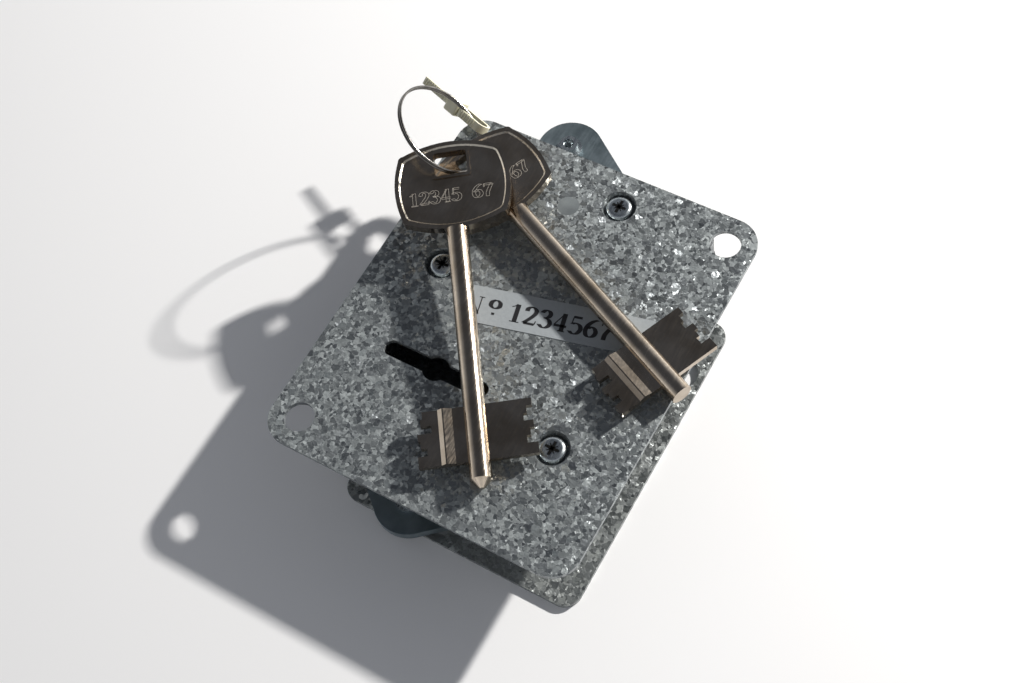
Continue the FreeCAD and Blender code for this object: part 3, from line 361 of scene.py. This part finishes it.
LEVERS = range(1, 7)
FINISHES = {
    "bright_zinc": ["screw_posts", "cover_screws", "upper_rod_bush", "lower_rod_bush", "pinion_post",
                    "pinion_spacer", "lever_post", "lever_spacers", "rod_stump"],
    "rivet_zinc": ["back_rivets", "guide_rivet"],
    "dark_carriage": ["upper_carriage", "lower_carriage", "pinion"],
    "lever_brass": [f"lever_{index}" for index in LEVERS],
    "blue_spring": [f"lever_spring_{index}" for index in LEVERS],
    "key_nickel": ["key_1", "key_2"],
    "ring_nickel": ["split_ring"],
}
for finish, names in FINISHES.items():
    for name in names:
        dress(name, metals[finish])
TURNED_ROUND, KEY_ROUND, KEY_ROUND_TURNS, KEY_SHARPEST = 0.2 * MM, 0.36 * MM, 3, 25.0
for name in ("upper_carriage", "lower_carriage", "guide_rivet", "upper_rod_bush", "lower_rod_bush",
             "cover_screws"):
    soften_edges(nodes[name], TURNED_ROUND)
for name in ("key_1", "key_2"):
    soften_edges(nodes[name], KEY_ROUND, KEY_ROUND_TURNS, KEY_SHARPEST)


# Lever springs: leaves of blued steel. Each leaf is drawn as an unbent copy of its CAD node, which is
# hidden; the root and tip places are listed but not used to bend it.
SPRING_ROOT, SPRING_TIP = (0.026, 0.035), (0.0475, 0.014)
for index in LEVERS:
    leaf = f"lever_spring_{index}"
    bent = bpy.data.objects.new(f"bent_spring_{index}", nodes[leaf].data.copy())
    bpy.context.scene.collection.objects.link(bent)
    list(SPRING_ROOT)
    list(SPRING_TIP)
    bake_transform(bent)
    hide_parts(leaf)


# Screw recesses: each cover screw's cross recess is drawn as flat near-black strips laid just over its head,
# painted shade for the depth of the recess, with four shorter strips between its arms for the extra ribs
# of a cross-point bit.
def speckled_material(name, grain, detail, stops, roughness):
    """A material whose colour changes in fine specks, with its tree, shader and speck noise."""
    material, tree, shader = new_material(name)
    place = add(tree, "ShaderNodeTexCoord")
    speck = add(tree, "ShaderNodeTexNoise", inputs={"Scale": grain, "Detail": detail})
    link(tree, place, "Object", speck, "Vector")
    colour_ramp(tree, speck, "Fac", stops, shader)
    shader.inputs["Roughness"].default_value = roughness
    return material, tree, shader, speck


# near-black tones of the painted shade in the screw recesses
RECESS_PAINTED_SHADES = ((0.0, (0.002, 0.002, 0.002)), (1.0, (0.008, 0.008, 0.008)))
GROOVE_GRAIN, GROOVE_DETAIL, GROOVE_ROUGHNESS, GROOVE_GLOSS = 2500.0, 2.0, 0.8, 0.1
painted_recess_black, _, shader, _ = speckled_material("painted_shade_in_screw_recesses", GROOVE_GRAIN, GROOVE_DETAIL,
                                               RECESS_PAINTED_SHADES, GROOVE_ROUGHNESS)
shader.inputs["Specular IOR Level"].default_value = GROOVE_GLOSS
SCREWS, SCREW_TOP = ((21.2, 70.2), (-16.5, 30.5), (41.6, -6.5)), 21.9
GROOVE_INNER, GROOVE_LIFT, GROOVE_TAPER = 0.45, 0.02, 0.55
GROOVES = (
    # (first arm's angle in degrees, reach, width) of each set of four
    (0.0, 2.2, 0.95), (45.0, 1.7, 0.5),
)


def groove_arm(corners, faces, centre, degrees, reach, width):
    """One arm of a recess, which tapers towards its end."""
    angle, start = math.radians(degrees), len(corners)
    along = Vector((math.cos(angle), math.sin(angle), 0))
    across = Vector((-math.sin(angle), math.cos(angle), 0))
    for distance, breadth in ((0.0, width), (GROOVE_INNER, width), (reach, width * GROOVE_TAPER)):
        middle = centre + along * distance
        corners += [(middle + across * side * breadth / 2) * MM for side in (-1, 1)]
    faces += [(start, start + 2, start + 3, start + 1), (start + 2, start + 4, start + 5, start + 3)]


corners, faces = [], []
for x, y in SCREWS:
    centre = Vector((x, y, SCREW_TOP + GROOVE_LIFT))
    for first, reach, width in GROOVES:
        for degrees in range(0, 360, 90):
            groove_arm(corners, faces, centre, first + degrees, reach, width)
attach(mesh_piece("screw_recesses_painted_shade", corners, faces, painted_recess_black), "housing")


# Rod bushes: turned steel bushes pressed into the lugs. Each has a thread for its rod's end screw, cut as
# a helix down its bore.
THREAD_RADIUS, THREAD_PITCH, THREAD_LIFT, THREAD_STEPS = 1.67 * MM, 0.7 * MM, 0.2 * MM, 16
for name, body in (("upper", "upper_rod_slide"), ("lower", "lower_rod_slide")):
    low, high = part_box(name + "_rod_bush")
    middle = (Vector(low) + Vector(high)) / 2
    turns = int((high[2] - low[2]) / THREAD_PITCH) - 1
    spiral = bpy.data.curves.new(name + "_bush_thread", "CURVE")
    spiral.dimensions, spiral.bevel_depth, spiral.bevel_resolution = "3D", THREAD_LIFT, 1
    line = spiral.splines.new("POLY")
    line.points.add(turns * THREAD_STEPS)
    for step, point in enumerate(line.points):
        angle = 2 * math.pi * step / THREAD_STEPS
        rise = low[2] + THREAD_PITCH * (0.5 + step / THREAD_STEPS)
        point.co = (middle[0] + THREAD_RADIUS * math.cos(angle),
                    middle[1] + THREAD_RADIUS * math.sin(angle), rise, 1)
    thread = bpy.data.objects.new(name + "_bush_thread", spiral)
    bpy.context.scene.collection.objects.link(thread)
    spiral.materials.append(metals["bright_zinc"])
    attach(thread, body)


# Number label: a strip of pale printed paper stuck on the cover, with a plain number in black letters
# whose upright strokes are thick and whose level strokes are thin, as a flat pen draws them.
LABEL_MIDDLE, LABEL_TURN = Vector((23.0, 28.6, 22.15)) * MM, math.radians(13.3)
LABEL_PLACE = Matrix.Translation(LABEL_MIDDLE) @ Matrix.Rotation(LABEL_TURN, 4, "Z")
GLYPHS = {
    # strokes over a letter one unit high: (curved, wide or thin pen, points)
    "1": [(False, "wide", [(0.38, 0.98), (0.38, 0.0)]),
          (False, "thin", [(0.08, 0.80), (0.22, 0.86), (0.34, 0.98)]),
          (False, "thin", [(0.14, 0.01), (0.62, 0.01)])],
    "2": [(True, "wide", [(0.10, 0.72), (0.14, 0.90), (0.34, 0.98), (0.54, 0.86), (0.54, 0.64), (0.34, 0.34),
                          (0.08, 0.06)]), (False, "bar", [(0.08, 0.06), (0.62, 0.06)]),
          (False, "thin", [(0.62, 0.06), (0.66, 0.26)])],
    "3": [(True, "wide", [(0.10, 0.80), (0.22, 0.96), (0.42, 0.95), (0.52, 0.78), (0.44, 0.60),
                          (0.26, 0.54)]),
          (True, "wide", [(0.26, 0.54), (0.50, 0.48), (0.60, 0.26), (0.48, 0.05), (0.26, 0.01),
                          (0.08, 0.16)])],
    "4": [(False, "thin", [(0.44, 0.98), (0.04, 0.30)]), (False, "bar", [(0.04, 0.29), (0.66, 0.29)]),
          (False, "wide", [(0.46, 0.98), (0.46, 0.0)]), (False, "thin", [(0.28, 0.01), (0.64, 0.01)])],
    "5": [(False, "bar", [(0.15, 0.92), (0.56, 0.92)]), (False, "thin", [(0.15, 0.96), (0.12, 0.54)]),
          (True, "wide", [(0.12, 0.52), (0.30, 0.60), (0.52, 0.52), (0.60, 0.30), (0.48, 0.06), (0.26, 0.01),
                          (0.08, 0.14)])],
    "6": [(True, "wide", [(0.58, 0.98), (0.34, 0.86), (0.14, 0.60), (0.08, 0.32), (0.18, 0.06), (0.34, 0.01),
                          (0.52, 0.08), (0.60, 0.30), (0.50, 0.50), (0.34, 0.56), (0.16, 0.44)])],
    "7": [(False, "bar", [(0.08, 0.92), (0.62, 0.92)]), (False, "thin", [(0.07, 0.96), (0.06, 0.74)]),
          (True, "wide", [(0.60, 0.92), (0.44, 0.60), (0.30, 0.30), (0.28, 0.0)])],
    "N": [(False, "thin", [(0.10, 0.98), (0.10, 0.0)]), (False, "wide", [(0.12, 0.96), (0.74, 0.04)]),
          (False, "thin", [(0.76, 0.98), (0.76, 0.0)]), (False, "thin", [(-0.04, 0.98), (0.24, 0.98)]),
          (False, "thin", [(-0.04, 0.01), (0.24, 0.01)]), (False, "thin", [(0.62, 0.98), (0.90, 0.98)])],
    "o": [(True, "wide", [(0.30, 0.98), (0.10, 0.86), (0.08, 0.62), (0.30, 0.50), (0.52, 0.62), (0.50, 0.86),
                          (0.30, 0.98)]), (False, "bar", [(0.22, 0.20), (0.38, 0.20)])],
}
# half width and half height of each pen's oval tip, over a letter one unit high
PENS = {"wide": (0.115, 0.032), "thin": (0.030, 0.026), "bar": (0.026, 0.065)}
CURVE_STEPS = 6


def smooth_line(points):
    """Points on a smooth line through the given ones."""
    line = []
    ends = [points[0]] + points + [points[-1]]
    for first, second, third, fourth in zip(ends, ends[1:], ends[2:], ends[3:]):
        for step in range(CURVE_STEPS):
            t = step / CURVE_STEPS
            line.append(tuple(0.5 * (2 * b + (c - a) * t + (2 * a - 5 * b + 4 * c - d) * t * t
                                     + (3 * b - a - 3 * c + d) * t ** 3)
                              for a, b, c, d in zip(first, second, third, fourth)))
    return line + [points[-1]]


def way_along(line, index):
    """The direction of a line at one of its points."""
    before, after = line[max(index - 1, 0)], line[min(index + 1, len(line) - 1)]
    return Vector((after[0] - before[0], after[1] - before[1])).normalized()


def pen_edges(line, pen):
    """The two edges that a pen with an oval tip leaves along a line."""
    edges = ([], [])
    for index, (x, y) in enumerate(line):
        along = way_along(line, index)
        normal = Vector((-along.y, along.x))
        reach = math.hypot(pen[0] * normal.x, pen[1] * normal.y)
        offset = Vector((pen[0] ** 2 * normal.x, pen[1] ** 2 * normal.y)) / reach
        edges[0].append((x + offset.x, y + offset.y))
        edges[1].append((x - offset.x, y - offset.y))
    return edges


def set_down(edges, corner, tall):
    """Edges of a stroke, made as tall as the writing and moved to the letter's corner."""
    return [[(corner[0] + tall * x, corner[1] + tall * y) for x, y in edge] for edge in edges]


def letter_ribbons(letter, corner, tall):
    """Edge pairs of a letter's strokes."""
    for curved, pen, points in GLYPHS[letter]:
        line = smooth_line(points) if curved else points
        yield set_down(pen_edges(line, PENS[pen]), corner, tall)


def ribbon_piece(name, ribbons, place, body, material):
    """A flat piece made of ribbons, each given by its two edges."""
    corners, faces = [], []
    for left, right in ribbons:
        start = len(corners)
        corners += [place @ Vector((x, y, 0)) for pair in zip(left, right) for x, y in pair]
        faces += [(start + 2 * k, start + 2 * k + 1, start + 2 * k + 3, start + 2 * k + 2)
                  for k in range(len(left) - 1)]
    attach(mesh_piece(name, corners, faces, material), body)


PAPER_GREYS = ((0.0, (0.29, 0.315, 0.335)), (1.0, (0.37, 0.40, 0.42)))
PAPER_GRAIN, PAPER_DETAIL, PAPER_ROUGHNESS, PAPER_BUMP, PAPER_DEPTH = 900.0, 4.0, 0.5, 0.1, 0.0005
paper, tree, shader, fibre = speckled_material("label_paper", PAPER_GRAIN, PAPER_DETAIL, PAPER_GREYS,
                                               PAPER_ROUGHNESS)
bump = add(tree, "ShaderNodeBump", inputs={"Strength": PAPER_BUMP, "Distance": PAPER_DEPTH})
link(tree, fibre, "Fac", bump, "Height")
link(tree, bump, "Normal", shader, "Normal")
dress("number_label", paper)

INK_BLACKS = ((0.0, (0.008, 0.008, 0.010)), (1.0, (0.022, 0.021, 0.024)))
INK_GRAIN, INK_DETAIL, INK_ROUGHNESS = 4000.0, 2.0, 0.45
ink = speckled_material("printing_ink", INK_GRAIN, INK_DETAIL, INK_BLACKS, INK_ROUGHNESS)[0]
LETTER_HEIGHT, LETTER_PITCH, BASELINE, INK_LIFT = 5.9 * MM, 4.5 * MM, -3.3 * MM, 0.01 * MM
DIGITS_START, WORD_START, WORD_PITCH = -13.8 * MM, -27.2 * MM, 7.2 * MM
ribbons = []
for index, letter in enumerate("No"):
    ribbons += letter_ribbons(letter, (WORD_START + index * WORD_PITCH, BASELINE), LETTER_HEIGHT)
for index, letter in enumerate("1234567"):
    ribbons += letter_ribbons(letter, (DIGITS_START + index * LETTER_PITCH, BASELINE), LETTER_HEIGHT)
ribbon_piece("label_number", ribbons, LABEL_PLACE @ Matrix.Translation((0, 0, INK_LIFT)), "housing", ink)


# Key numbers: a plain number is cut in outline into the head of each nickel-plated key. The thin cuts are
# drawn as flat lines laid just over the head, coloured lighter than the nickel round them: painted
# highlight.
# lighter tones for the cut lines: painted highlight
CUT_HIGHLIGHT_TONES = ((0.3, (0.35, 0.31, 0.26)), (0.7, (0.75, 0.70, 0.62)))
CUT_GRAIN, CUT_DETAIL, CUT_ROUGHNESS, CUT_METALLIC = 5000.0, 2.0, 0.55, 0.55
cut_highlight, _, shader, _ = speckled_material("cut_lines_painted_highlight", CUT_GRAIN, CUT_DETAIL, CUT_HIGHLIGHT_TONES,
                                           CUT_ROUGHNESS)
shader.inputs["Metallic"].default_value = CUT_METALLIC
KEYS = {
    # key: (ring hole's place in mm, the hole's rise over the tip, turn in degrees)
    "key_1": ((-26.366, 55.484), 7.875, -54.7),
    "key_2": ((-23.04, 62.296), 1.371, -24.1),
}
HOLE_REACH, TIP_HEIGHT, PANEL_HEIGHT = 98.2, 25.35, 1.1
CUT_PEN, CUT_LIFT = (0.012, 0.012), 0.02 * MM
NUMBER_HEIGHT, NUMBER_PITCH, NUMBER_START, NUMBER_FOOT = 4.3 * MM, 3.15 * MM, -13.2 * MM, -85.6 * MM


def key_frame(hole, rise, turn):
    """The key's own frame: X towards its tip, which is at 0, and Z out of its upper face."""
    tilt, spin = math.asin(rise / HOLE_REACH), math.radians(turn)
    level = HOLE_REACH * math.cos(tilt)
    tip = Vector((hole[0] + level * math.cos(spin), hole[1] + level * math.sin(spin), TIP_HEIGHT)) * MM
    return Matrix.Translation(tip) @ Matrix.Rotation(spin, 4, "Z") @ Matrix.Rotation(tilt, 4, "Y")


def outline_ribbons(letter, corner, tall):
    """Thin ribbons round the outline of a letter's strokes."""
    for pair in letter_ribbons(letter, (0, 0), 1.0):
        closed = pair[0] + pair[1][::-1] + [pair[0][0]]
        yield set_down(pen_edges(closed, CUT_PEN), corner, tall)


for name, (hole, rise, turn) in KEYS.items():
    writing = (key_frame(hole, rise, turn)
               @ Matrix.Translation((NUMBER_FOOT, 0, PANEL_HEIGHT * MM + CUT_LIFT))
               @ Matrix.Rotation(math.radians(90), 4, "Z"))
    ribbons = []
    for index, letter in enumerate("12345 67"):
        if letter != " ":
            ribbons += outline_ribbons(letter, (NUMBER_START + index * NUMBER_PITCH, 0), NUMBER_HEIGHT)
    ribbon_piece(name + "_number", ribbons, writing, "housing", cut_highlight)


# Key heads: a small slope runs round inside the rim of each head's upper face, from the rim down to the
# sunk panel, as the stamp leaves it. It is coloured lighter than the key's nickel: a painted highlight.
HEAD_NEAR, HEAD_FAR, HEAD_HALF, HEAD_CORNER = -76.6, -105.6, 17.1, 1.6
END_BULGE, SIDE_BULGE, RIM_INSET, SLOPE_RUN = 3.0, 1.6, 1.25, 0.42
RIM_HEIGHT, SLOPE_LIFT, SIDE_STEPS = 1.5, 0.01, 10


def head_path(inset, level):
    """Points round a key's head at an inset from its edge: four bulging sides with cut corners."""
    near, far = HEAD_NEAR - END_BULGE - inset, HEAD_FAR + END_BULGE + inset
    half, corner = HEAD_HALF - SIDE_BULGE - inset, HEAD_CORNER - inset / 2
    sides = [((near - corner, half), (far + corner, half), (0, SIDE_BULGE)),
             ((far, half - corner), (far, corner - half), (-END_BULGE, 0)),
             ((far + corner, -half), (near - corner, -half), (0, -SIDE_BULGE)),
             ((near, corner - half), (near, half - corner), (END_BULGE, 0))]
    path = []
    for first, last, bulge in sides:
        for step in range(SIDE_STEPS + 1):
            t = step / SIDE_STEPS
            out = 4 * t * (1 - t)
            path.append(Vector((first[0] + (last[0] - first[0]) * t + bulge[0] * out,
                                first[1] + (last[1] - first[1]) * t + bulge[1] * out, level)) * MM)
    return path


for name, (hole, rise, turn) in KEYS.items():
    upper = head_path(RIM_INSET, RIM_HEIGHT + SLOPE_LIFT)
    lower = head_path(RIM_INSET + SLOPE_RUN, PANEL_HEIGHT + SLOPE_LIFT)
    count = len(upper)
    corners = [key_frame(hole, rise, turn) @ point for point in upper + lower]
    faces = [(k, (k + 1) % count, count + (k + 1) % count, count + k) for k in range(count)]
    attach(mesh_piece(name + "_rim_slope_painted_highlight", corners, faces, metals["rim_painted_highlight_nickel"]), "housing")


# Cable tie: milky natural nylon, slightly translucent, on the ring. Its strap loops round the ring, goes
# through a square block and ends in a tail; fine cross ribs on the strap hold the tooth in the block.
NYLON_TONES = ((0.0, (0.50, 0.48, 0.34)), (1.0, (0.76, 0.74, 0.60)))
NYLON_GRAIN, NYLON_DETAIL, NYLON_ROUGHNESS = 300.0, 3.0, 0.34
NYLON_DEPTH, NYLON_REACH = 0.25, (0.0015, 0.0014, 0.0010)
nylon, _, shader, _ = speckled_material("milky_nylon", NYLON_GRAIN, NYLON_DETAIL, NYLON_TONES,
                                        NYLON_ROUGHNESS)
shader.inputs["Subsurface Weight"].default_value = NYLON_DEPTH
shader.inputs["Subsurface Radius"].default_value = NYLON_REACH

TIE_MIDDLE, TIE_TURN, TIE_LEAN, TIE_ROLL = Vector((-37.23, 78.14, 25.3)) * MM, -19.2, -3.2, 38.0
TIE_FRAME = (Matrix.Translation(TIE_MIDDLE) @ Matrix.Rotation(math.radians(TIE_TURN), 4, "Z")
             @ Matrix.Rotation(math.radians(TIE_LEAN), 4, "Y")
             @ Matrix.Rotation(math.radians(TIE_ROLL), 4, "X"))
TIE_WIDTH, TIE_SHEET, TIE_LOOP, TIE_RISE, TIE_TAIL_END = 2.5, 0.9, 8.6, 4.4, -19.0
BLOCK_MIDDLE, BLOCK_HALF, BLOCK_CORNER, BLOCK_STEPS, BLOCK_PROFILE = -3.4, (2.5, 2.4, 2.5), 0.6, 3, 0.6
UPPER_ENTRY, LOWER_ENTRY, LOWER_STOP, LOOP_SPREAD, LOOP_STEPS = 0.8, -1.6, -1.5, 1.6, 12
RIB_PITCH, RIB_WIDE, RIB_HIGH, RIB_EDGE, RIB_SLOPE, RIB_START = 1.0, 0.6, 0.25, 0.2, 0.12, 0.6


def add_strap(corners, faces, line):
    """The flat strap, swept along a line in the XZ plane and closed at both ends."""
    start, half = len(corners), TIE_WIDTH / 2
    for index, (x, z) in enumerate(line):
        along = way_along(line, index) * TIE_SHEET / 2
        corners += [(x - along.y, -half, z + along.x), (x - along.y, half, z + along.x),
                    (x + along.y, half, z - along.x), (x + along.y, -half, z - along.x)]
    for step in range(len(line) - 1):
        near, far = start + 4 * step, start + 4 * step + 4
        faces += [(near + k, far + k, far + (k + 1) % 4, near + (k + 1) % 4) for k in range(4)]
    last = start + 4 * (len(line) - 1)
    faces += [tuple(start + k for k in range(4)), tuple(last + 3 - k for k in range(4))]


def add_block(corners, faces):
    """The moulded block with round edges."""
    shape = bmesh.new()
    bmesh.ops.create_cube(shape, size=2.0)
    bmesh.ops.scale(shape, vec=BLOCK_HALF, verts=shape.verts)
    bmesh.ops.bevel(shape, geom=shape.edges[:], offset=BLOCK_CORNER, segments=BLOCK_STEPS,
                    profile=BLOCK_PROFILE, affect="EDGES")
    start = len(corners)
    shape.verts.index_update()
    corners += [(vertex.co.x + BLOCK_MIDDLE, vertex.co.y, vertex.co.z) for vertex in shape.verts]
    faces += [tuple(start + vertex.index for vertex in face.verts) for face in shape.faces]
    shape.free()


def add_rib(corners, faces, x, z):
    """One cross rib that stands on the strap's upper face."""
    wide, half, start = RIB_WIDE / 2, TIE_WIDTH / 2 - RIB_EDGE, len(corners)
    for level, reach in ((0.0, wide), (RIB_HIGH, wide - RIB_SLOPE)):
        corners += [(x - reach, -half, z + level), (x + reach, -half, z + level),
                    (x + reach, half, z + level), (x - reach, half, z + level)]
    sides = [(0, 1, 5, 4), (1, 2, 6, 5), (2, 3, 7, 6), (3, 0, 4, 7), (4, 5, 6, 7)]
    faces += [tuple(start + k for k in side) for side in sides]


corners, faces = [], []
half_rise, block_end = TIE_RISE / 2, BLOCK_MIDDLE + BLOCK_HALF[0]
loop_start = block_end + LOOP_SPREAD
strap_line = [(TIE_TAIL_END, 0.0), (BLOCK_MIDDLE, 0.0), (block_end, UPPER_ENTRY), (loop_start, half_rise)]
strap_line += [(TIE_LOOP + half_rise * math.sin(math.pi * k / LOOP_STEPS),
                half_rise * math.cos(math.pi * k / LOOP_STEPS)) for k in range(LOOP_STEPS + 1)]
strap_line += [(loop_start, -half_rise), (block_end, LOWER_ENTRY), (BLOCK_MIDDLE, LOWER_STOP)]
add_strap(corners, faces, strap_line)
add_block(corners, faces)
for step in range(int((TIE_LOOP - loop_start) / RIB_PITCH)):
    add_rib(corners, faces, loop_start + RIB_START + step * RIB_PITCH, half_rise + TIE_SHEET / 2)
for step in range(int((BLOCK_MIDDLE - BLOCK_HALF[0] - TIE_TAIL_END) / RIB_PITCH)):
    add_rib(corners, faces, TIE_TAIL_END + RIB_START + step * RIB_PITCH, TIE_SHEET / 2)
corners = [TIE_FRAME @ (Vector(corner) * MM) for corner in corners]
tie = mesh_piece("cable_tie_moulded", corners, faces, nylon)
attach(tie, "housing")
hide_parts("cable_tie")
